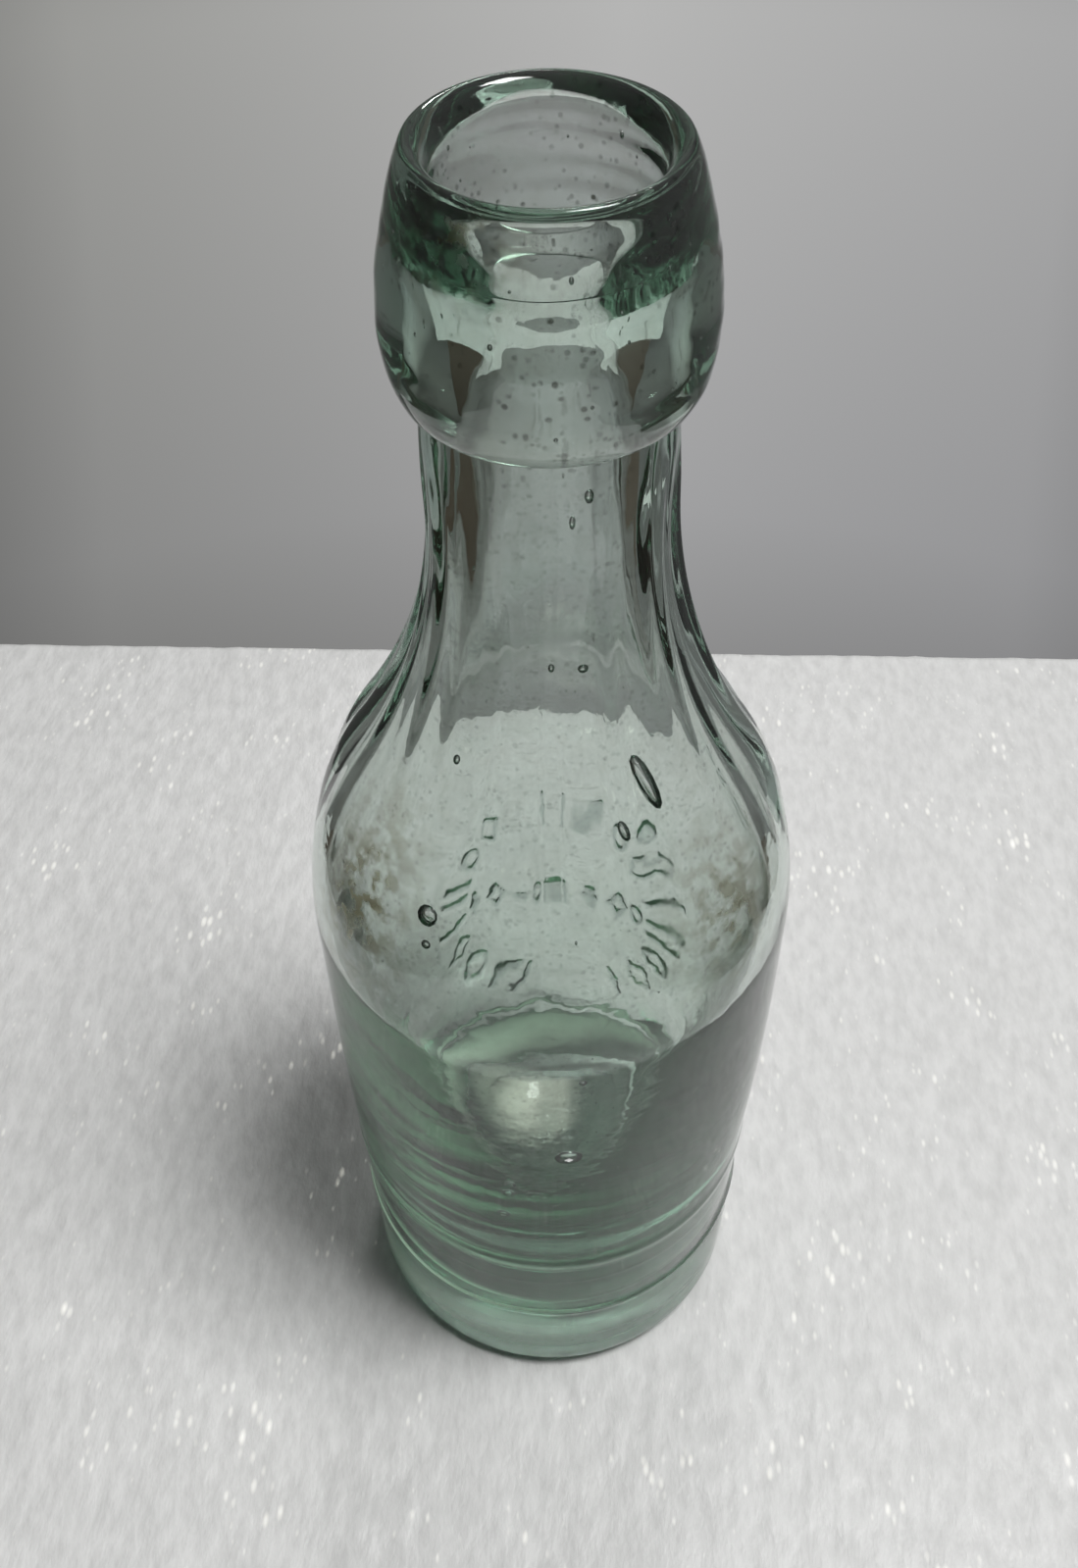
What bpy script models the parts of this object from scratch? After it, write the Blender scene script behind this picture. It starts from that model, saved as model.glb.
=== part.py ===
"""A mould-blown glass soda bottle with a thick applied lip.

Two pieces of glass: the blown body, whose neck runs up inside the finish, and
the lip, a second gather of glass wound round and over the end of the neck.
Both are turned shapes about +Z. The bottle stands on z = 0. Lengths in metres.
"""

import math

import bpy

# Overall sizes
HEIGHT = 0.186
BODY_DIAMETER = 0.062
HEEL_DRAW_IN = 0.0014           # how much the body's radius shrinks at the mould seam
SEAM_HEIGHT = 0.020             # the seam where the base cup of the mould met its sides
SHOULDER_HEIGHT = 0.063
SHOULDER_ROUND_SHARE = 0.45     # the part of the shoulder's curve that bulges outwards

# Neck, bore and mouth
NECK_DIAMETER = 0.0255
NECK_LENGTH = 0.0105            # the straight stretch under the lip
BORE_DIAMETER = 0.0160
BORE_TAPER_LENGTH = 0.0156      # the tooled taper from the bore up to the mouth
MOUTH_DIAMETER = 0.0204
NECK_END_BELOW_RIM = 0.010      # where the blown neck stops, inside the lip
NECK_END_WALL = 0.0026

# Applied lip
LIP_HEIGHT = 0.0245
LIP_DIAMETER = 0.032
LIP_WIDEST_BELOW_RIM = 0.0164
CREST_DIAMETER = 0.0242
MOUTH_EDGE_DEPTH = 0.0034       # how far the rim rounds down into the mouth
LIP_FOOT_WIDTH = 0.0006         # the lip's flat lower edge, against the neck

# Walls and base
WALL = 0.0026                   # at the foot of the shoulder, where the glass is thinnest
HEEL_WALL = 0.0080              # the same wall down at the mould seam
SEAM_PROUD = 0.0004
SEAM_WIDTH = 0.0016
HEEL_RADIUS = 0.0032
RESTING_RING_WIDTH = 0.004
KICK_UP = 0.003                 # how far the base rises in its middle
BASE_THICKNESS = 0.0085
FLOOR_RISE = 0.0015
BOWL_WIDTH = 0.020              # the inside rounds from floor to wall in one deep bowl
BOWL_HEIGHT = 0.032

GLASS_GAP = 0.0003              # the clearance between the two pieces of glass
SEGMENTS = 48

LIP_FOOT_Z = HEIGHT - LIP_HEIGHT
NECK_FOOT_Z = LIP_FOOT_Z - NECK_LENGTH
SHOULDER_Z = NECK_FOOT_Z - SHOULDER_HEIGHT
NECK_END_Z = HEIGHT - NECK_END_BELOW_RIM
MOUTH_EDGE_Z = HEIGHT - MOUTH_EDGE_DEPTH
BODY_RADIUS = BODY_DIAMETER / 2
NECK_RADIUS = NECK_DIAMETER / 2


def clear_scene():
    for old in list(bpy.data.objects):
        bpy.data.objects.remove(old, do_unlink=True)


def arc(centre, radii, start, end, steps):
    """Points on an ellipse's arc from start to end degrees, both ends included."""
    points = []
    for step in range(steps + 1):
        angle = math.radians(start + (end - start) * step / steps)
        points.append((centre[0] + radii[0] * math.cos(angle), centre[1] + radii[1] * math.sin(angle)))
    return points


def bezier(first, first_handle, last_handle, last, steps):
    """Points on a cubic curve, both ends included."""
    points = []
    for step in range(steps + 1):
        t = step / steps
        weights = ((1 - t) ** 3, 3 * t * (1 - t) ** 2, 3 * t * t * (1 - t), t ** 3)
        corners = (first, first_handle, last_handle, last)
        radius = sum(weight * corner[0] for weight, corner in zip(weights, corners))
        height = sum(weight * corner[1] for weight, corner in zip(weights, corners))
        points.append((radius, height))
    return points


def shoulder_curve(low_radius, low_z, high_radius, high_z, steps):
    """Two tangent arcs from the body up to the neck, upright at both ends."""
    run = low_radius - high_radius
    rise = high_z - low_z
    sweep = 2 * math.degrees(math.atan2(run, rise))
    both_radii = rise / math.sin(math.radians(sweep))
    outward = both_radii * SHOULDER_ROUND_SHARE
    inward = both_radii - outward
    lower = arc((low_radius - outward, low_z), (outward, outward), 0, sweep, steps)
    upper = arc((high_radius + inward, high_z), (inward, inward), 180 + sweep, 180, steps)
    return lower + upper[1:]


def body_radius(z):
    """The outside radius of the body's side, drawn in on a long curve to the seam."""
    depth = max(0.0, (SHOULDER_Z - z) / (SHOULDER_Z - SEAM_HEIGHT))
    return BODY_RADIUS - HEEL_DRAW_IN * min(depth, 1.0) ** 2


def bore_radius(z):
    """The bore's radius, eased open by the tooling plug up to the edge of the mouth."""
    start = MOUTH_EDGE_Z - BORE_TAPER_LENGTH
    share = min(1.0, max(0.0, (z - start) / BORE_TAPER_LENGTH))
    opened = share * share * (3 - 2 * share)
    return BORE_DIAMETER / 2 + (MOUTH_DIAMETER - BORE_DIAMETER) / 2 * opened


def heights(low, high, steps):
    return [low + (high - low) * step / steps for step in range(steps + 1)]


def inside_radius(z):
    """The inside radius of the body's side, whose wall thickens steadily down to the seam."""
    depth = max(0.0, (SHOULDER_Z - z) / (SHOULDER_Z - SEAM_HEIGHT))
    return body_radius(z) - WALL - (HEEL_WALL - WALL) * min(depth, 1.0)


def inside_shoulder(steps):
    """The outside of the shoulder moved in along its normal by the wall, which thickens
    towards the neck."""
    outside = shoulder_curve(BODY_RADIUS, SHOULDER_Z, NECK_RADIUS, NECK_FOOT_Z, steps)
    neck_wall = NECK_RADIUS - bore_radius(0)
    points = [(BODY_RADIUS - WALL, SHOULDER_Z)]
    for before, point, after in zip(outside, outside[1:], outside[2:]):
        slope = math.atan2(before[0] - after[0], after[1] - before[1])
        wall = WALL + (neck_wall - WALL) * ((point[1] - SHOULDER_Z) / SHOULDER_HEIGHT) ** 2
        points.append((point[0] - wall * math.cos(slope), point[1] - wall * math.sin(slope)))
    return points + [(bore_radius(0), NECK_FOOT_Z)]


def inside_of_body():
    """From the middle of the floor up to the end of the neck."""
    bowl_top = BASE_THICKNESS + BOWL_HEIGHT
    corner = inside_radius(bowl_top) - BOWL_WIDTH
    floor = [(corner * part, BASE_THICKNESS + FLOOR_RISE * (1 - part ** 2)) for part in (0, 0.5)]
    bowl = arc((corner, bowl_top), (BOWL_WIDTH, BOWL_HEIGHT), -90, 0, 8)
    wall = [(inside_radius(z), z) for z in heights(bowl_top, SHOULDER_Z, 3)[1:-1]]
    bore_start = MOUTH_EDGE_Z - BORE_TAPER_LENGTH
    bore = [(bore_radius(z), z) for z in heights(bore_start, NECK_END_Z, 3)]
    return floor + bowl + wall + inside_shoulder(6) + bore


def outside_of_body():
    """From the end of the neck down to the middle of the base."""
    end_radius = bore_radius(NECK_END_Z) + NECK_END_WALL
    neck = [(end_radius, NECK_END_Z), (NECK_RADIUS, LIP_FOOT_Z)]
    shoulder = shoulder_curve(BODY_RADIUS, SHOULDER_Z, NECK_RADIUS, NECK_FOOT_Z, 7)
    seam_top = SEAM_HEIGHT + SEAM_WIDTH / 2
    seam_bottom = SEAM_HEIGHT - SEAM_WIDTH / 2
    side = [(body_radius(z), z) for z in reversed(heights(seam_top, SHOULDER_Z, 5)[:-1])]
    heel_side = body_radius(SEAM_HEIGHT)
    seam = [(heel_side + SEAM_PROUD, SEAM_HEIGHT), (heel_side, seam_bottom)]
    ring_outer = heel_side - HEEL_RADIUS
    heel = arc((ring_outer, HEEL_RADIUS), (HEEL_RADIUS, HEEL_RADIUS), 0, -90, 5)
    ring_inner = ring_outer - RESTING_RING_WIDTH
    kick = [(ring_inner * part, KICK_UP * (1 - part ** 2)) for part in (1, 0.8, 0.5, 0)]
    return neck + shoulder[::-1] + side + seam + heel + kick


def lip_outline():
    """The closed outline of the lip: its seat, its bore, the rim, then its outside."""
    seat_top = NECK_END_Z + GLASS_GAP
    seat_radius = bore_radius(NECK_END_Z) + NECK_END_WALL + GLASS_GAP
    foot_radius = NECK_RADIUS + GLASS_GAP
    seat = [(foot_radius, LIP_FOOT_Z), (seat_radius, seat_top)]
    bore = [(bore_radius(z), z) for z in heights(seat_top, MOUTH_EDGE_Z, 3)[:-1]]
    mouth_edge = (MOUTH_DIAMETER / 2, MOUTH_EDGE_Z)
    crest = (CREST_DIAMETER / 2, HEIGHT)
    rounding = crest[0] - mouth_edge[0]
    rim = bezier(mouth_edge, (mouth_edge[0], MOUTH_EDGE_Z + MOUTH_EDGE_DEPTH * 0.7),
                 (crest[0] - rounding * 0.6, HEIGHT), crest, 4)
    widest = (LIP_DIAMETER / 2, HEIGHT - LIP_WIDEST_BELOW_RIM)
    top_run = widest[0] - crest[0]
    outside = bezier(crest, (crest[0] + top_run * 0.22, HEIGHT),
                     (widest[0], widest[1] + LIP_WIDEST_BELOW_RIM * 0.37), widest, 9)
    foot = (foot_radius + LIP_FOOT_WIDTH, LIP_FOOT_Z)
    under_rise = widest[1] - LIP_FOOT_Z
    under = bezier(widest, (widest[0], widest[1] - under_rise * 0.5),
                   (foot[0] + (widest[0] - foot[0]) * 0.55, LIP_FOOT_Z + under_rise * 0.05), foot, 6)
    return seat + bore + rim + outside[1:] + under[1:]


def glass(name, colour):
    """Pale aqua glass, with the tint held by its colour."""
    material = bpy.data.materials.new(name)
    material.use_nodes = True
    shader = material.node_tree.nodes["Principled BSDF"]
    shader.inputs["Base Color"].default_value = colour
    shader.inputs["Metallic"].default_value = 0.0
    shader.inputs["Roughness"].default_value = 0.04
    shader.inputs["Transmission Weight"].default_value = 1.0
    return material


def turned(name, outline, closed, material):
    """A solid of revolution about +Z from an outline of (radius, height) points."""
    count = len(outline)
    edges = [(index, index + 1) for index in range(count - 1)]
    if closed:
        edges.append((count - 1, 0))
    mesh = bpy.data.meshes.new(name)
    mesh.from_pydata([(radius, 0, height) for radius, height in outline], edges, [])
    mesh.materials.append(material)
    piece = bpy.data.objects.new(name, mesh)
    bpy.context.scene.collection.objects.link(piece)
    screw = piece.modifiers.new("Turn", "SCREW")
    screw.steps = SEGMENTS
    screw.render_steps = SEGMENTS
    screw.use_smooth_shade = True
    screw.use_merge_vertices = True
    screw.merge_threshold = 0.00001
    return piece


def blown_body():
    outline = inside_of_body() + outside_of_body()
    return turned("blown_body", outline, False, glass("aqua_body_glass", (0.62, 0.76, 0.70, 1)))


def applied_lip():
    return turned("applied_lip", lip_outline(), True, glass("aqua_lip_glass", (0.50, 0.68, 0.60, 1)))


clear_scene()
blown_body()
applied_lip()
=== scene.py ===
"""A mould-blown aqua glass soda bottle with a thick applied lip, on a pale foam sheet."""

import math

import bmesh
import bpy
import numpy as np
from mathutils import Matrix, Vector


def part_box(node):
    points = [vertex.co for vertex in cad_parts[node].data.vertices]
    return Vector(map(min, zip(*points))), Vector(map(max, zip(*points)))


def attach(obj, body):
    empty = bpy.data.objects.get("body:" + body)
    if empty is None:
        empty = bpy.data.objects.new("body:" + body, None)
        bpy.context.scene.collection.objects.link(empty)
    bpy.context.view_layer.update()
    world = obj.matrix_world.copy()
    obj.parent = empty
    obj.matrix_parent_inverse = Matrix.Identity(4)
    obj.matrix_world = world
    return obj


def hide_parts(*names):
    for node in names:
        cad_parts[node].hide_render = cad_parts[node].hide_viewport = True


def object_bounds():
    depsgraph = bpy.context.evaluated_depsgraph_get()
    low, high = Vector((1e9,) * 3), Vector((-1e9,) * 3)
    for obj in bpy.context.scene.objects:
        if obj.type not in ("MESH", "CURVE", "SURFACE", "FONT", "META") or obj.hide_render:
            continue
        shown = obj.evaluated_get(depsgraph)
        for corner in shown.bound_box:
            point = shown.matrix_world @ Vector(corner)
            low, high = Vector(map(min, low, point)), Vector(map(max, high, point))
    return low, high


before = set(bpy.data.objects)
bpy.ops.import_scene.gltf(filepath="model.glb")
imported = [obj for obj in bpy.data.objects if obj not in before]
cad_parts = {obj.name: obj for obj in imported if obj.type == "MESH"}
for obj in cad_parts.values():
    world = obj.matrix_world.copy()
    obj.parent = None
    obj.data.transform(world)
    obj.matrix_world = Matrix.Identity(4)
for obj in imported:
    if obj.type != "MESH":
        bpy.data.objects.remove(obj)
cad_low, cad_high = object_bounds()


# ---------------------------------------------------------------- camera
# A hand-held camera a little above the mouth, looking steeply down at the bottle,
# close enough that the shoulders look wide and the base small. Glass this thick
# turns light round many times, so the light may bounce more often than usual.
camera_data = bpy.data.cameras.new("camera")
camera_data.sensor_width = 36.0
camera_data.lens = 34.2
camera_data.clip_start = 0.005
camera = bpy.data.objects.new("camera", camera_data)
bpy.context.scene.collection.objects.link(camera)
bpy.context.scene.camera = camera
look_down = math.radians(47.5)
look_left = math.radians(3.5)
lean = math.radians(0.7)
camera.matrix_world = (
    Matrix.Translation(Vector((0.0061, -0.1222, cad_high.z + 0.0536)))
    @ Matrix.Rotation(look_left, 4, "Z")
    @ Matrix.Rotation(math.pi / 2 - look_down, 4, "X")
    @ Matrix.Rotation(-lean, 4, "Z")
)
bpy.context.scene.view_settings.view_transform = "Standard"
cycles = bpy.context.scene.cycles
cycles.max_bounces = 32
cycles.transmission_bounces = 32
cycles.glossy_bounces = 16
cycles.transparent_max_bounces = 64


# ---------------------------------------------------------------- foam sheet
# The bottle stands on a sheet of white expanded foam. Its skin is soft streaks a few
# millimetres long with painted glints, small faintly glowing dots, between, and its back edge is cut
# straight.
# Under the base a painted glow, an emission patch, stands in for the light that the bottle gathers there.
def soft_noise(rows, columns, row_cell, column_cell, seed):
    """White noise blurred by a Gaussian of the given cells, in steps: random, with no period."""
    values = np.random.default_rng(seed).standard_normal((rows, columns))
    down = np.fft.fftfreq(rows)[:, None] * row_cell
    across = np.fft.fftfreq(columns)[None, :] * column_cell
    blur = np.exp(-2 * (math.pi * 0.5) ** 2 * (down**2 + across**2))
    smooth = np.fft.ifft2(np.fft.fft2(values) * blur).real
    return smooth / smooth.std()


def new_piece(name, points, faces, smooth=True):
    """A mesh object at the origin from an array of points and an array of faces."""
    mesh = bpy.data.meshes.new(name)
    mesh.from_pydata(points.tolist(), [], faces.tolist())
    mesh.update()
    mesh.polygons.foreach_set("use_smooth", np.full(len(mesh.polygons), smooth))
    piece = bpy.data.objects.new(name, mesh)
    bpy.context.scene.collection.objects.link(piece)
    return piece


def grid_faces(rows, columns):
    """Quads between the neighbouring points of a rows by columns grid, facing +Z for +X, +Y."""
    corner = (np.arange(rows - 1)[:, None] * columns + np.arange(columns - 1)[None, :]).ravel()
    return np.stack([corner, corner + 1, corner + columns + 1, corner + columns], 1)


def new_material(name):
    """A material with an empty node tree, and that tree."""
    material = bpy.data.materials.new(name)
    material.use_nodes = True
    material.node_tree.nodes.clear()
    return material, material.node_tree


def add_node(tree, kind, inputs, **options):
    """A shader node with its options set, and its inputs given a value or a link."""
    node = tree.nodes.new("ShaderNode" + kind)
    for option, value in options.items():
        setattr(node, option, value)
    for socket, value in inputs.items():
        if isinstance(value, bpy.types.NodeSocket):
            tree.links.new(value, node.inputs[socket])
        else:
            node.inputs[socket].default_value = value
    return node


def combined(tree, operation, *values, clamp=False):
    """The result of a sum or another operation on two or three values."""
    return add_node(tree, "Math", dict(enumerate(values)), operation=operation, use_clamp=clamp).outputs[0]


def spread(tree, value, low, high, to_low=0.0, to_high=1.0):
    """The value brought from low..high to to_low..to_high, and held at both ends."""
    ends = {"Value": value, "From Min": low, "From Max": high, "To Min": to_low, "To Max": to_high}
    return add_node(tree, "MapRange", ends).outputs[0]


def shades(tree, value, steps):
    """A colour that goes straight from each step's place and colour to the next one's."""
    node = add_node(tree, "ValToRGB", {0: value})
    ramp = node.color_ramp.elements
    for number, (place, colour) in enumerate(steps):
        element = ramp[number] if number < 2 else ramp.new(place)
        element.position = place
        element.color = (*colour, 1)
    return node.outputs[0]


foam_left, foam_right = -0.158, 0.138
foam_front, foam_back = -0.36, 0.143
foam_step = 0.0009
foam_top = -0.0007                              # low enough that no bump reaches into the bottle
foam_skew = 0.022                               # how much the cut back edge slants
foam_edge, foam_edge_drop = 0.003, 0.004        # the width of the fall at the back edge, and the fall
foam_x = np.arange(foam_left, foam_right, foam_step)
foam_y = np.arange(foam_front, foam_back, foam_step)
foam_size = (len(foam_y), len(foam_x))
streaks = soft_noise(*foam_size, row_cell=4.6, column_cell=2.2, seed=3)
swells = soft_noise(*foam_size, row_cell=16, column_cell=12, seed=4)
foam_grid_x, foam_grid_y = np.meshgrid(foam_x, foam_y)
foam_height = foam_top + 0.00007 * streaks + 0.00012 * np.tanh(swells)
foam_height -= foam_edge_drop * np.clip((foam_grid_y - foam_back + foam_edge) / foam_edge, 0, 1) ** 2
foam_points = np.stack([foam_grid_x, foam_grid_y + foam_skew * foam_grid_x, foam_height], 2).reshape(-1, 3)
foam = new_piece("foam_sheet", foam_points, grid_faces(*foam_size))
foam_material, tree = new_material("foam")
place = add_node(tree, "TexCoord", {}).outputs["Object"]
streak_turn = {"Vector": place, "Rotation": (0, 0, math.radians(18)), "Scale": (1, 0.42, 1)}
streaked = add_node(tree, "Mapping", streak_turn).outputs[0]
mottle_sizes = {"Vector": streaked, "Scale": 520, "Detail": 3, "Roughness": 0.55}
mottle = add_node(tree, "TexNoise", mottle_sizes).outputs["Fac"]
foam_colour = shades(tree, mottle, [(0.30, (0.74, 0.74, 0.73)), (0.66, (0.86, 0.86, 0.85))])
dimples = add_node(tree, "Bump", {"Height": mottle, "Strength": 0.5, "Distance": 0.0006}).outputs[0]
# painted highlights: small dots that glow faintly, standing in for glints off the foam's beads
glint_spots = add_node(tree, "TexVoronoi", {"Vector": streaked, "Scale": 620}).outputs["Distance"]
glint_groups = add_node(tree, "TexNoise", {"Vector": place, "Scale": 60}).outputs["Fac"]
glint_size = spread(tree, glint_groups, 0.40, 0.80, 0.0, 0.56)
painted_glints = combined(tree, "SUBTRACT", glint_size, glint_spots, clamp=True)
# painted pool of light: the foam glows under the base, where the bottle would gather light onto it
glow_middle_distance = add_node(tree, "VectorMath", {0: place, 1: (-0.010, 0.008, 0)}, operation="DISTANCE")
painted_caustic_glow = spread(tree, glow_middle_distance.outputs["Value"], 0.019, 0.004, 0.0, 0.74)
foam_shader = add_node(tree, "BsdfPrincipled", {
    "Base Color": foam_colour,
    "Roughness": 0.38,
    "Specular IOR Level": 0.35,
    "Normal": dimples,
    # the colour of the painted glints and of the painted pool of light
    "Emission Color": (1.0, 0.98, 0.86, 1),
    "Emission Strength": combined(tree, "ADD", painted_glints, painted_caustic_glow),
})
add_node(tree, "OutputMaterial", {"Surface": foam_shader.outputs[0]})
foam.data.materials.append(foam_material)


# ---------------------------------------------------------------- table
# The foam lies on a plain brown table top that shows past its sides, and so also as
# brown streaks where the neck and the lip bend the view sideways.
table_side, table_back, table_z = 1.2, 0.10, -0.02
table_x = np.array([-table_side, table_side, table_side, -table_side])
table_y = np.array([-table_side, -table_side, table_back, table_back])
table_corners = np.stack([table_x, table_y, np.full(4, table_z)], 1)
table = new_piece("table_top", table_corners, np.array([[0, 1, 2, 3]]), False)
table_material, tree = new_material("table")
table_look = {"Base Color": (0.085, 0.062, 0.045, 1), "Roughness": 0.6}
table_shader = add_node(tree, "BsdfPrincipled", table_look)
add_node(tree, "OutputMaterial", {"Surface": table_shader.outputs[0]})
table.data.materials.append(table_material)


# ---------------------------------------------------------------- studio
# A grey studio, palest low down behind the bottle and darker above, in front and to both
# sides, with one soft lamp high on the right and a narrow one behind that glints along
# the rim.
world = bpy.data.worlds.new("studio")
bpy.context.scene.world = world
world.use_nodes = True
tree = world.node_tree
tree.nodes.clear()
direction = add_node(tree, "TexCoord", {}).outputs["Generated"]
across, ahead, upward = add_node(tree, "SeparateXYZ", {0: direction}).outputs
backdrop = shades(tree, combined(tree, "MULTIPLY_ADD", upward, 0.5, 0.5), [
    (0.16, (0.25, 0.25, 0.25)),
    (0.20, (0.34, 0.34, 0.345)),
    (0.33, (0.44, 0.44, 0.4356)),
    (0.50, (0.22, 0.22, 0.2178)),
    (0.60, (0.14, 0.14, 0.1386)),
    (0.80, (0.14, 0.14, 0.1386)),
    (1.00, (0.20, 0.20, 0.198)),
])
sides = shades(tree, combined(tree, "ADD", across, 0.5), [
    (0.04, (0.30, 0.30, 0.29)),
    (0.18, (0.74, 0.74, 0.72)),
    (0.50, (1.06, 1.06, 1.06)),
    (0.76, (0.90, 0.90, 0.91)),
    (0.94, (0.35, 0.35, 0.35)),
])
both_ways = {"Factor": 1.0, "A": backdrop, "B": sides}
studio_colour = add_node(tree, "Mix", both_ways, data_type="RGBA", blend_type="MULTIPLY").outputs["Result"]
darker_in_front = spread(tree, ahead, -0.35, 0.25, 0.45, 1.0)
background = add_node(tree, "Background", {"Color": studio_colour, "Strength": darker_in_front})
add_node(tree, "OutputWorld", {"Surface": background.outputs[0]})


def soft_lamp(name, place, target, size, power):
    """A rectangular lamp at place, turned to face target."""
    data = bpy.data.lights.new(name, "AREA")
    data.shape = "RECTANGLE"
    data.size, data.size_y = size
    data.energy = power
    lamp = bpy.data.objects.new(name, data)
    bpy.context.scene.collection.objects.link(lamp)
    turn = (Vector(target) - Vector(place)).to_track_quat("-Z", "Y")
    lamp.matrix_world = Matrix.LocRotScale(Vector(place), turn, None)
    return lamp


soft_lamp("key_lamp", (0.38, -0.12, 1.25), target=(0, 0, 0.05), size=(0.40, 0.40), power=12.2)
soft_lamp("rim_lamp", (0.08, 1.0, 1.05), target=(0, 0, 0.15), size=(0.28, 0.07), power=2.0)


# ---------------------------------------------------------------- blown body
# One bubble of aqua glass, blown in a plate mould: push-up base, heel with the mould's
# seam, side, shoulder and neck. Its wall thickens towards the heel, and the neck runs
# up inside the lip and is fused to it.
def arc(centre, radii, start, end, steps):
    """Points on an ellipse's arc from start to end degrees, both ends included."""
    angle = np.radians(np.linspace(start, end, steps + 1))
    return np.stack([centre[0] + radii[0] * np.cos(angle), centre[1] + radii[1] * np.sin(angle)], 1)


def cubic(first, first_handle, last_handle, last, steps):
    """Points on a cubic curve between two points, pulled by two handles."""
    t = np.linspace(0, 1, steps + 1)[:, None]
    ends = (1 - t) ** 3 * np.array(first) + t**3 * np.array(last)
    first_pull = 3 * t * (1 - t) ** 2 * np.array(first_handle)
    last_pull = 3 * t * t * (1 - t) * np.array(last_handle)
    return ends + first_pull + last_pull


def shoulder_curve(low_radius, low_z, high_radius, high_z, steps):
    """Two tangent arcs from the body up to the neck, upright at both ends."""
    bulging_share = 0.45
    run, rise = low_radius - high_radius, high_z - low_z
    sweep = 2 * math.degrees(math.atan2(run, rise))
    both_radii = rise / math.sin(math.radians(sweep))
    outward = both_radii * bulging_share
    inward = both_radii - outward
    lower = arc((low_radius - outward, low_z), (outward, outward), 0, sweep, steps)
    upper = arc((high_radius + inward, high_z), (inward, inward), 180 + sweep, 180, steps)
    return np.concatenate([lower, upper[1:]])


def evenly(points, spacing):
    """The same path with points at an even spacing along it."""
    length = np.concatenate([[0], np.cumsum(np.hypot(*np.diff(points, axis=0).T))])
    places = np.linspace(0, length[-1], max(2, round(length[-1] / spacing)) + 1)
    return np.stack([np.interp(places, length, points[:, 0]), np.interp(places, length, points[:, 1])], 1)


def ripples(turn, height, radius, across, along, seed):
    """Smooth random waves on a round wall: a sum of cosines, each with a whole number of
    waves round the axis and any number up it, in cells about across wide and along high."""
    random = np.random.default_rng(seed)
    count = 70
    total = 0
    for _ in range(count):
        waves_round = round(random.normal(0, radius / across))
        total = total + np.cos(
            waves_round * turn + random.normal(0, 1 / along) * height + random.uniform(0, 2 * math.pi)
        )
    return total / math.sqrt(count / 2)


def fade(value, start, end):
    """0 at start, 1 at end, eased between as 3 s^2 - 2 s^3; start may be above end."""
    share = np.clip((value - start) / (end - start), 0, 1)
    return share * share * (3 - 2 * share)


body_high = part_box("blown_body")[1]
lip_low, lip_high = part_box("applied_lip")
spare = 0.00030                                 # room for the waves of the surface
rim_z, lip_foot_z, neck_end_z = lip_high.z - 0.00008, lip_low.z, body_high.z
body_radius, neck_radius = body_high.x - spare, 0.01255
bore_radius, mouth_r = 0.0080, 0.0102
flare_z, mouth_z = rim_z - 0.0190, rim_z - 0.0034
seam_z, shoulder_z, neck_foot_z = 0.020, 0.088, 0.151
draw_in = 0.0014                                # how much slimmer the side is at the seam
upper_wall, heel_wall, neck_end_wall = 0.0026, 0.0080, 0.0026
floor_z, floor_rise, bowl_height, bowl_width = 0.0085, 0.0015, 0.032, 0.020
heel_rounding, resting_width, kick_up = 0.0032, 0.004, 0.003
mould_turn = 1.52                               # the mould's joint stands this far before turn 0
faint_ring_z = 0.0375
plate_z, plate_foot_z, plate_top_z = 0.049, 0.017, 0.078
plate_ring_r, arc_r, plate_proud = 0.0275, 0.0222, 0.00028
arc_marks, arc_start, arc_sweep, arc_half = 16, -62, 304, 0.0040
row_marks, row_spacing, row_lift, row_half = 7, 0.0050, 0.001, 0.0027


def side_radius(z):
    """The outside of the side, drawn in by the square of the way down to the seam."""
    return body_radius - draw_in * np.clip((shoulder_z - z) / (shoulder_z - seam_z), 0, 1) ** 2


def wall_thickness(z):
    """The wall of the side, which thickens in step with the way down to the seam."""
    return upper_wall + (heel_wall - upper_wall) * np.clip((shoulder_z - z) / (shoulder_z - seam_z), 0, 1)


def bore(z):
    """The inside of the neck: straight, then eased open in a trumpet up to the mouth."""
    return bore_radius + (mouth_r - bore_radius) * fade(z, flare_z, mouth_z)


def inside_shoulder_curve():
    """The inside of the shoulder: the outside moved in along its own normal by the wall."""
    outside = shoulder_curve(body_radius, shoulder_z, neck_radius, neck_foot_z, 30)
    along = np.gradient(outside, axis=0)
    along /= np.hypot(*along.T)[:, None]
    neck_wall = neck_radius - bore_radius
    share = (outside[:, 1] - shoulder_z) / (neck_foot_z - shoulder_z)
    wall = upper_wall + (neck_wall - upper_wall) * share**2
    return outside + np.stack([-along[:, 1], along[:, 0]], 1) * wall[:, None]


def column(radius, z):
    """A path of points at these heights, each at its own radius."""
    return np.stack([radius, z], 1)


def neck_joint(clearance):
    """The joint between neck and lip, from the lip's foot up to the end of the neck."""
    end_radius = bore(neck_end_z) + neck_end_wall
    return np.array([(neck_radius + clearance, lip_foot_z), (end_radius + clearance, neck_end_z)])


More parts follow.
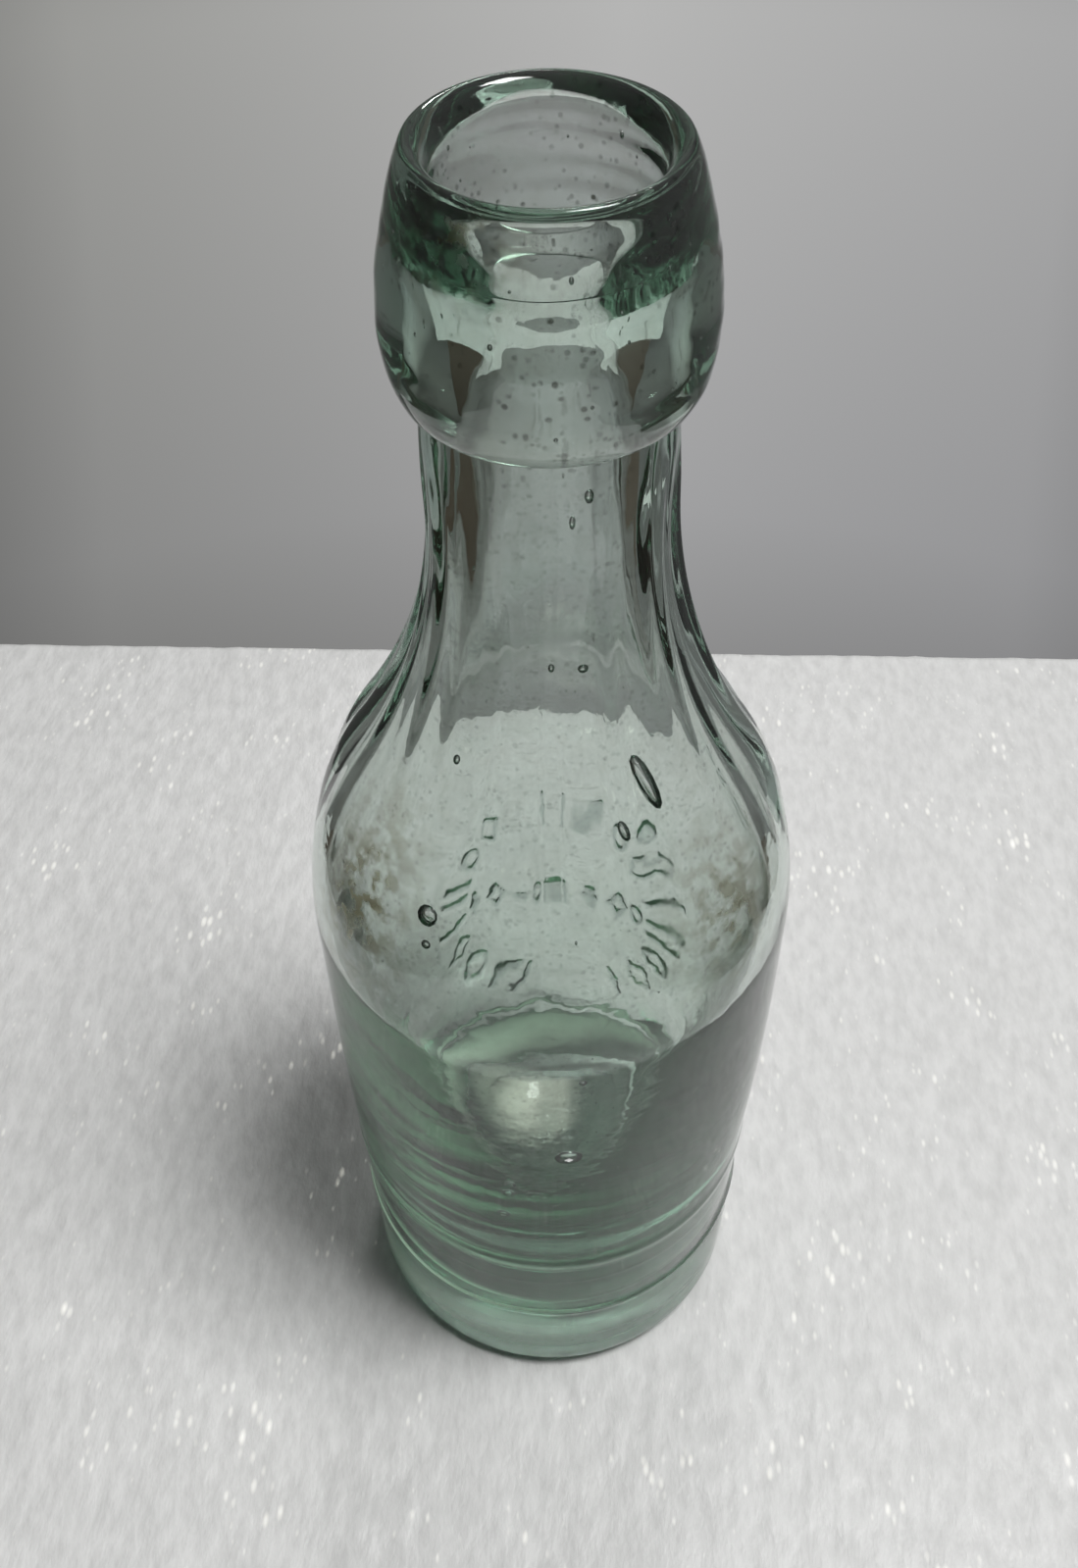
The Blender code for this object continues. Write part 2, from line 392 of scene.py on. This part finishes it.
def turned(stretches, turns, closed):
    """Rings of points about +Z, x = r cos a and y = r sin a, for the points of an outline.
    Each stretch is a path, its spacing, whether its faces are fused to the other piece,
    and its waves: a function of turn, radius and height that moves a point outwards."""
    paths = [evenly(path, spacing)[:-1] for path, spacing, fused, waves in stretches]
    if not closed:
        paths.append(stretches[-1][0][-1:])
    outline = np.concatenate(paths)
    count = len(outline)
    if closed:
        padded = np.concatenate([outline[-1:], outline, outline[:1]])
    else:
        padded = np.pad(outline, ((1, 1), (0, 0)), "edge")
    along = padded[2:] - padded[:-2]
    along /= np.hypot(*along.T)[:, None]
    radius, z = outline[:, :1], outline[:, 1:]
    moved = np.zeros((count, len(turns)))
    fused = np.zeros(count)
    first = 0
    for path, (_, _, is_fused, waves) in zip(paths, stretches):
        rows = slice(first, first + len(path))
        fused[rows] = is_fused
        if waves:
            moved[rows] = waves(turns[None, :], radius[rows], z[rows])
        first += len(path)
    ring = np.maximum(radius - along[:, 1:] * moved, 0) * (radius > 1e-9)
    height = z + along[:, :1] * moved * (radius > 1e-9)
    points = np.stack([ring * np.cos(turns), ring * np.sin(turns), height], 2).reshape(-1, 3)
    rows = np.arange(count if closed else count - 1)
    here = rows[:, None] * len(turns) + np.arange(len(turns))[None, :]
    there = ((rows + 1) % count)[:, None] * len(turns) + np.arange(len(turns))[None, :]
    faces = np.stack([here, there, np.roll(there, -1, 1), np.roll(here, -1, 1)], 2).reshape(-1, 4)
    return points, faces, np.repeat(fused[: len(rows)], len(turns))


def bubbles(places, outer_radius, inner_radius):
    """Gas bubbles trapped in the wall, as hollows whose faces look into the gas. Each place
    is a turn in degrees, a height, a width, a length, a tilt in degrees and a share of the
    way through the wall."""
    rings, sides = 7, 12
    polar = np.linspace(0, math.pi, rings)[:, None]
    around = np.linspace(0, 2 * math.pi, sides, endpoint=False)[None, :]
    ball_x, ball_y = np.sin(polar) * np.cos(around), np.sin(polar) * np.sin(around)
    ball = np.stack([ball_x, ball_y, np.cos(polar) + 0 * around], 2).reshape(-1, 3)
    here = np.arange(rings - 1)[:, None] * sides + np.arange(sides)[None, :]
    there = np.roll(here, -1, 1)
    ball_faces = np.stack([here, there, there + sides, here + sides], 2).reshape(-1, 4)
    points, faces = [], []
    for number, (turn, z, width, length, tilt, share) in enumerate(places):
        middle = inner_radius(z) + share * (outer_radius(z) - inner_radius(z))
        deep = min(width, 0.55 * (outer_radius(z) - inner_radius(z)))
        lean_in = math.atan((outer_radius(z - 0.0005) - outer_radius(z + 0.0005)) / 0.001)
        axes = Matrix.Rotation(math.radians(turn), 3, "Z") @ Matrix.Rotation(-lean_in, 3, "Y")
        axes = axes @ Matrix.Rotation(math.radians(tilt), 3, "X")
        shaped = ball * np.array([deep, width, length]) / 2 @ np.array(axes).T
        centre = np.array([middle * math.cos(math.radians(turn)), middle * math.sin(math.radians(turn)), z])
        points.append(shaped + centre)
        faces.append(ball_faces + number * len(ball))
    return np.concatenate(points), np.concatenate(faces)


def aqua_glass(name, tint_strength, clearness):
    """Pale aqua glass: clear where it is thin and bottle green where it is thick. Painted
    attributes say where it is stained, specked with dust, given painted shade (darker green on
    the lower front, grey on the plate's marks), scuffed, and where it is fused to the other
    piece and so has no surface at all."""
    material, tree = new_material(name)
    place = add_node(tree, "TexCoord", {}).outputs["Object"]

    def painted(kind):
        """The painted attribute of this name."""
        return add_node(tree, "Attribute", {}, attribute_name=kind).outputs["Fac"]

    def noise(scale, detail):
        """Noise through the glass, with that many cells to the metre."""
        sizes = {"Vector": place, "Scale": scale, "Detail": detail}
        return add_node(tree, "TexNoise", sizes).outputs["Fac"]

    def over(colour, share, new_colour):
        """The colour, covered by the new one where the share is 1."""
        layers = {"Factor": share, "A": colour, "B": new_colour}
        return add_node(tree, "Mix", layers, data_type="RGBA").outputs["Result"]

    blotches = spread(tree, noise(scale=420, detail=7), 0.47, 0.60)
    stains = combined(tree, "MULTIPLY", painted("stain"), blotches)
    dots = add_node(tree, "TexVoronoi", {"Vector": place, "Scale": 900}).outputs["Distance"]
    dusty_dots = combined(tree, "MULTIPLY", painted("dust"), spread(tree, dots, 0.30, 0.16))
    specks = combined(tree, "MULTIPLY", dusty_dots, spread(tree, noise(scale=380, detail=2), 0.45, 0.55))
    # painted shade: the lower front is painted a darker green, standing in for the shade seen through the
    # glass there
    colour = over((0.955, 0.965, 0.958, 1), painted("painted_front_shade"), (0.42, 0.72, 0.56, 1))
    # painted shade: the plate's raised marks are painted grey, standing in for their shading
    colour = over(colour, painted("painted_mark_shade"), (0.36, 0.42, 0.41, 1))
    colour = over(colour, stains, (0.33, 0.27, 0.15, 1))
    colour = over(colour, specks, (0.05, 0.05, 0.04, 1))
    dullness = combined(tree, "MAXIMUM", stains, painted("worn"))
    pits = {"Height": noise(scale=240, detail=2), "Strength": 0.25, "Distance": 0.00012}
    shader = add_node(tree, "BsdfPrincipled", {
        "Base Color": colour,
        "IOR": 1.52,
        "Transmission Weight": clearness,
        "Roughness": spread(tree, dullness, 0.0, 1.0, 0.012, 0.35),
        "Normal": add_node(tree, "Bump", pits).outputs[0],
        "Alpha": combined(tree, "SUBTRACT", 1.0, painted("fused")),
    })
    tint = add_node(tree, "VolumeAbsorption", {"Color": (0.22, 0.54, 0.37, 1), "Density": tint_strength})
    add_node(tree, "OutputMaterial", {"Surface": shader.outputs[0], "Volume": tint.outputs[0]})
    return material


def glass_piece(name, turned_parts, bubble_parts, paints, tint_strength, clearness):
    """One closed glass mesh of a turned skin and the bubbles inside it. Doubled points are
    welded, which also closes the poles, and a crease is kept round the fused faces."""
    points, faces, fused = turned_parts
    bubble_points, bubble_faces = bubble_parts
    all_faces = np.concatenate([faces, bubble_faces + len(points)])
    piece = new_piece(name, np.concatenate([points, bubble_points]), all_faces)
    fused_faces = np.concatenate([fused, np.zeros(len(bubble_faces))])
    mark = piece.data.attributes.new("fused", "FLOAT", "FACE")
    mark.data.foreach_set("value", fused_faces.astype(np.float32))
    turn, radius = np.arctan2(points[:, 1], points[:, 0]), np.hypot(points[:, 0], points[:, 1])
    for kind, paint in paints.items():
        amount = np.concatenate([paint(turn, radius, points[:, 2]), np.zeros(len(bubble_points))])
        mark = piece.data.attributes.new(kind, "FLOAT", "POINT")
        mark.data.foreach_set("value", amount.astype(np.float32))
    work = bmesh.new()
    work.from_mesh(piece.data)
    bmesh.ops.remove_doubles(work, verts=work.verts, dist=1e-6)
    layer = work.faces.layers.float["fused"]
    for edge in work.edges:
        sides = [face[layer] for face in edge.link_faces]
        edge.smooth = max(sides) == min(sides)
    work.to_mesh(piece.data)
    work.free()
    piece.data.materials.append(aqua_glass(name.replace("_glass", "_aqua"), tint_strength, clearness))
    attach(piece, "root")
    return piece


def inside_radius(z):
    """The inside of the wall at a height, above the bowl-shaped bottom."""
    curve = inside_shoulder_curve()
    above = np.where(z < neck_foot_z, np.interp(z, curve[:, 1], curve[:, 0]), bore(z))
    return np.where(z < shoulder_z, side_radius(z) - wall_thickness(z), above)


def outside_radius(z):
    """The outside of the body at a height, from the seam up to the lip."""
    curve = shoulder_curve(body_radius, shoulder_z, neck_radius, neck_foot_z, 30)
    return np.where(z < shoulder_z, side_radius(z), np.interp(z, curve[:, 1], curve[:, 0]))


def ridge(distance, half_width):
    """A rounded ridge: 1 on its middle line, 0 a little past its half width."""
    return fade(distance, half_width + 0.00045, half_width - 0.00035)


def plate_mark(kind, across, up, half):
    """A raised mark as high as twice half and narrower than high: two bars, a ring, a
    lozenge, or a dotted bar, each a ridge along its outline."""
    narrow = 0.66
    if kind == 0:
        return ridge(np.abs(np.abs(across) - 0.42 * half), 0.00060) * ridge(np.abs(up), half)
    if kind == 1:
        return ridge(np.abs(np.hypot(across / narrow, up) - 0.78 * half), 0.00062)
    if kind == 2:
        return ridge(np.abs(np.abs(across) / narrow + np.abs(up) - 0.85 * half), 0.00062)
    bar = ridge(np.abs(across), 0.00055) * ridge(np.abs(up), half)
    return np.maximum(bar, ridge(np.hypot(across, up), 0.0012))


def plate(turn, z):
    """The round plate on the back of the side: a faint raised ring, an arc of sixteen raised
    marks of four kinds in turn, and a row of seven small ones across the middle."""
    across = (turn - math.pi / 2) * body_radius
    up = z - plate_z
    total = ridge(np.abs(np.hypot(across, up) - plate_ring_r), 0.00040) * 0.15
    for number in range(arc_marks):
        angle = math.radians(arc_start + number * arc_sweep / (arc_marks - 1))
        from_middle = (across - arc_r * math.cos(angle), up - arc_r * math.sin(angle))
        outward = from_middle[0] * math.cos(angle) + from_middle[1] * math.sin(angle)
        sideways = from_middle[1] * math.cos(angle) - from_middle[0] * math.sin(angle)
        total = np.maximum(total, plate_mark(number % 4, sideways, outward, arc_half))
    for number in range(row_marks):
        along = across - (number - (row_marks - 1) / 2) * row_spacing
        total = np.maximum(total, plate_mark((number + 1) % 4, along, up - row_lift, row_half))
    return total * (np.abs(across) < 0.03) * (z > plate_foot_z) * (z < 0.080)


def outside_waves(turn, radius, z):
    """Slow waves, whittled streaks and folds up the shoulder, the seam across the heel, a
    faint ring above it, the mould's joint up the front and the raised plate at the back."""
    slow = 0.00009 * ripples(turn, z, radius=0.031, across=0.010, along=0.014, seed=11)
    shoulder = fade(z, 0.092, 0.108) * fade(z, 0.160, 0.150)
    whittle = 0.000035 * ripples(turn, z, radius=0.026, across=0.0016, along=0.010, seed=12) * shoulder
    sides = np.abs(np.sin(turn + mould_turn)) ** 3
    folds = 0.00022 * ripples(turn, z, radius=0.026, across=0.0020, along=0.030, seed=13) * shoulder * sides
    ring = 0.00016 * np.exp(-(((z - faint_ring_z) / 0.0011) ** 2))
    bead = 0.00040 * np.exp(-(((z - seam_z) / 0.00075) ** 2))
    from_joint = np.remainder(turn + mould_turn + math.pi, 2 * math.pi) - math.pi
    joint = 0.00010 * np.exp(-((from_joint / 0.012) ** 2))
    joint = joint * fade(z, seam_z, seam_z + 0.003) * fade(z, 0.160, 0.150)
    waves = np.tanh((slow + whittle) / 0.00025) * 0.00025 + folds * fade(z, 0.098, 0.112)
    waves = waves * fade(z, 0.002, 0.010) * fade(z, lip_foot_z, lip_foot_z - 0.004)
    at_front = fade(-np.sin(turn), -0.55, 0.0)
    bead = bead * fade(radius, 0.028, 0.029) * (0.35 + 0.65 * at_front)
    return waves + ring * at_front + bead + joint + plate_proud * plate(turn, z)


def inside_waves(turn, radius, z):
    """Slow waves, stronger up in the shoulder, with faint rolls and whittled streaks, all
    calmer in the neck and gone at its end and in the middle of the floor."""
    slow = 0.00010 * ripples(turn, z, radius=0.028, across=0.014, along=0.014, seed=21)
    slow = slow * (0.15 + 0.85 * fade(z, 0.060, 0.092))
    rolls = 0.000003 * ripples(turn, z, radius=0.028, across=0.030, along=0.006, seed=22)
    whittle = 0.00004 * ripples(turn, z, radius=0.022, across=0.0025, along=0.012, seed=23)
    whittle = whittle * fade(z, 0.085, 0.105)
    calm = 1 - 0.75 * fade(z, 0.150, 0.160)
    waves = (slow + rolls + whittle) * calm
    return waves * fade(z, neck_end_z, neck_end_z - 0.003) * fade(radius, 0.0, 0.010)


def body_stain(turn, radius, z):
    """Brown stains low on the shoulder, left and right of the front, and a faint few more."""
    left = np.exp(-(((np.degrees(turn) + 140) / 14) ** 2) - ((z - 0.104) / 0.011) ** 2)
    right = np.exp(-(((np.degrees(turn) + 38) / 14) ** 2) - ((z - 0.104) / 0.009) ** 2)
    return 1.0 * left + 0.8 * right + 0.05


def body_worn(turn, radius, z):
    """Scuffed underneath, where the bottle has stood, and a little dull on the marks."""
    marks = 0.30 * plate(turn, z) * (radius > side_radius(z) - 0.001)
    return fade(z, 0.0042, 0.0010) * (z < 0.006) + marks


def lower_front_painted_shade(turn, radius, z):
    """Painted shade: the skin of the lower front painted a darker green, growing towards the heel, for the
    shade seen through the glass there.
    """
    lower = fade(z, shoulder_z, 0.046) * fade(z, 0.018, 0.024)
    return fade(-np.sin(turn), -0.4, 0.4) * lower * (radius > side_radius(z) - 0.0012)


def plate_marks_painted_shade(turn, radius, z):
    """Painted shade: the raised marks of the plate are painted grey, standing in for their shading."""
    return 0.85 * plate(turn, z) * (radius > side_radius(z) - 0.0012)


def body_dust(turn, radius, z):
    """Specks everywhere, and most of all in the upper bore."""
    return 0.30 + 0.70 * fade(z, 0.150, 0.170) * (radius < 0.011)


bowl_top = floor_z + bowl_height
floor_corner = float(side_radius(bowl_top) - wall_thickness(bowl_top)) - bowl_width
floor_r = np.linspace(0, floor_corner, 20)      # floor and push-up are domes, as 1 less r squared
inside_floor = np.stack([floor_r, floor_z + floor_rise * (1 - (floor_r / floor_corner) ** 2)], 1)
inside_heel = arc((floor_corner, bowl_top), (bowl_width, bowl_height), -90, 0, 24)
z = np.linspace(bowl_top, shoulder_z, 60)
inside_side = column(side_radius(z) - wall_thickness(z), z)
inside_shoulder = inside_shoulder_curve()
z = np.linspace(neck_foot_z, neck_end_z, 30)
inside_neck = column(bore(z), z)
joint_path = neck_joint(0.0)
outside_neck = np.array([(neck_radius, lip_foot_z), (neck_radius, neck_foot_z)])
outside_shoulder = shoulder_curve(body_radius, shoulder_z, neck_radius, neck_foot_z, 30)[::-1]
z = np.linspace(shoulder_z, plate_top_z, 8)
outside_upper = column(side_radius(z), z)
z = np.linspace(plate_top_z, plate_foot_z, 60)
outside_plate = column(side_radius(z), z)
heel_r = float(side_radius(plate_foot_z))
ring_outer = heel_r - heel_rounding
ring_inner = ring_outer - resting_width
heel_arc = arc((ring_outer, heel_rounding), (heel_rounding, heel_rounding), 0, -90, 14)
outside_heel = np.concatenate([[(heel_r, plate_foot_z)], heel_arc])
resting_ring = np.array([(ring_outer, 0.0), (ring_inner, 0.0)])
kick_r = np.linspace(ring_inner, 0, 20)
kick = np.stack([kick_r, kick_up * (1 - (kick_r / ring_inner) ** 2)], 1)
around_back = np.radians(np.linspace(36, 144, 116, endpoint=False))    # finer across the plate
around_front = np.radians(np.linspace(144, 396, 144, endpoint=False))
body_bubbles = [
    (-53, 0.1224, 0.0021, 0.0078, 14, 0.55), (-64, 0.1184, 0.0012, 0.0026, 12, 0.5),
    (-119, 0.1084, 0.0026, 0.0027, 0, 0.6), (-118, 0.1050, 0.0012, 0.0011, 0, 0.6),
    (-83, 0.0688, 0.0036, 0.0030, 0, 0.7), (-100, 0.0516, 0.0020, 0.0012, 0, 0.7),
    (-123, 0.1247, 0.0008, 0.0012, 0, 0.5), (-72, 0.1367, 0.0011, 0.0010, 0, 0.5),
    (-80, 0.0864, 0.0010, 0.0010, 0, 0.5), (-68, 0.1567, 0.0009, 0.0016, 0, 0.5),
    (-76, 0.1540, 0.0006, 0.0016, 0, 0.5),
]
random = np.random.default_rng(5)
for _ in range(100):
    size = 0.00022 * math.exp(random.normal(0, 0.35))
    spot = (random.uniform(0, 360), random.uniform(0.03, 0.160))
    body_bubbles.append((*spot, size, size * random.uniform(1, 2.5), 0, random.uniform(0.3, 0.7)))
body_skin = turned([
    (inside_floor, 0.0026, 0.0, inside_waves),
    (inside_heel, 0.0012, 0.0, inside_waves),
    (inside_side, 0.0022, 0.0, inside_waves),
    (inside_shoulder, 0.0018, 0.0, inside_waves),
    (inside_neck, 0.0014, 0.0, inside_waves),
    (np.array([inside_neck[-1], joint_path[-1]]), 0.0013, 1.0, None),
    (joint_path[::-1], 0.0030, 1.0, None),
    (outside_neck, 0.0010, 0.0, outside_waves),
    (outside_shoulder, 0.0011, 0.0, outside_waves),
    (outside_upper, 0.0014, 0.0, outside_waves),
    (outside_plate, 0.0005, 0.0, outside_waves),
    (outside_heel, 0.0012, 0.0, outside_waves),
    (resting_ring, 0.0020, 0.0, None),
    (kick, 0.0020, 0.0, None),
], np.concatenate([around_back, around_front]), False)
body_gas = bubbles(body_bubbles, outside_radius, inside_radius)
body_paints = {
    "stain": body_stain,
    "dust": body_dust,
    "worn": body_worn,
    "painted_front_shade": lower_front_painted_shade,
    "painted_mark_shade": plate_marks_painted_shade,
}
body = glass_piece("blown_body_glass", body_skin, body_gas, body_paints, tint_strength=40.0, clearness=0.99)
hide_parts("blown_body")


# ---------------------------------------------------------------- applied lip
# A second gather of glass, wound hot round the end of the neck and squeezed to a
# bulging ring with a tool, which also flared and rounded the mouth and left rings.
crest_r = 0.0121
widest = (lip_high.x - spare, rim_z - 0.0164)
fused_gap = 0.00003                             # the fused faces have no surface, so it can't be seen
rim_dip, front_dip = 0.0002, 0.0009


def lip_waves(turn, radius, z):
    """Fine rings left by the turning tool over the slow sag of the hot glass."""
    rings = 0.000030 * ripples(turn, z, radius=0.015, across=0.012, along=0.0008, seed=31)
    slow = 0.00006 * ripples(turn, z, radius=0.015, across=0.008, along=0.004, seed=32)
    edges = fade(z, rim_z + 0.0001, rim_z - 0.002) * fade(z, lip_foot_z, lip_foot_z + 0.002)
    return np.tanh((rings + slow) / 0.00028) * 0.00028 * edges


def crooked(points):
    """The finished mouth is a little crooked: its top sinks, and most of all in front,
    by a share that eases from none well down in the lip to all just below the rim."""
    front = 0.5 - 0.5 * points[:, 1] / np.hypot(points[:, 0], points[:, 1])
    points[:, 2] -= (rim_dip + front_dip * front) * fade(points[:, 2], rim_z - 0.012, rim_z - 0.001)
    return points


def mouth_waves(turn, radius, z):
    """Very faint waves and tool rings in the mouth, gone at the neck's end and at the rim."""
    slow = 0.000005 * ripples(turn, z, radius=0.009, across=0.006, along=0.003, seed=33)
    slow = slow + 0.000004 * ripples(turn, z, radius=0.009, across=0.009, along=0.0009, seed=34)
    return slow * fade(z, neck_end_z, neck_end_z + 0.003) * fade(z, rim_z + 0.0001, rim_z - 0.002)


def lip_stain(turn, radius, z):
    """A brown stain near the rim, left of the front, and faint ones all over."""
    corner = np.exp(-(((np.degrees(turn) + 122) / 18) ** 2) - ((z - 0.181) / 0.004) ** 2)
    return 0.9 * corner + 0.10


def lip_dust(turn, radius, z):
    """Specks everywhere alike."""
    return np.full(len(z), 0.6)


def lip_outside_radius(z):
    """The outside of the lip at a height, less the depth of its skin."""
    side = np.concatenate([lip_side, lip_under[1:]])[::-1]
    return float(np.interp(z, side[:, 1], side[:, 0])) - 0.0004


def lip_inside_radius(z):
    """A little outside the joint with the neck, so that no bubble crosses it."""
    return 0.0124


seat = neck_joint(fused_gap)
seat[-1, 1] += fused_gap
z = np.linspace(seat[-1, 1], mouth_z, 12)
lip_bore = column(bore(z), z)
mouth_edge, crest = (mouth_r, mouth_z), (crest_r, rim_z)
lip_rim = cubic(mouth_edge, (mouth_r, mouth_z + 0.0016), (crest_r - 0.0013, rim_z), crest, 16)
lip_side = cubic(crest, (crest_r + 0.0009, rim_z), (widest[0], widest[1] + 0.0061), widest, 40)
foot = (neck_radius + fused_gap + 0.0003, lip_foot_z)
lip_under = cubic(widest, (widest[0], widest[1] - 0.004), (foot[0] + 0.0018, foot[1] + 0.0004), foot, 30)
lip_bubbles = []
for _ in range(60):
    size = 0.00024 * math.exp(random.normal(0, 0.4))
    spot = (random.uniform(0, 360), random.uniform(0.1655, 0.1825))
    lip_bubbles.append((*spot, size, size * random.uniform(1, 1.6), 0, random.uniform(0.25, 0.75)))
lip_points, lip_faces, lip_fused = turned([
    (seat, 0.0030, 1.0, None),
    (np.array([seat[-1], lip_bore[0]]), 0.0013, 1.0, None),
    (lip_bore, 0.0006, 0.0, mouth_waves),
    (lip_rim, 0.0003, 0.0, mouth_waves),
    (lip_side, 0.00035, 0.0, lip_waves),
    (lip_under, 0.00035, 0.0, lip_waves),
    (np.array([lip_under[-1], seat[0]]), 0.0003, 0.0, None),
], np.radians(np.linspace(0, 360, 300, endpoint=False)), True)
lip_skin = (crooked(lip_points), lip_faces, lip_fused)
lip_gas = bubbles(lip_bubbles, lip_outside_radius, lip_inside_radius)
lip_paints = {"stain": lip_stain, "dust": lip_dust}
lip = glass_piece("applied_lip_glass", lip_skin, lip_gas, lip_paints, tint_strength=34.0, clearness=0.97)
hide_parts("applied_lip")
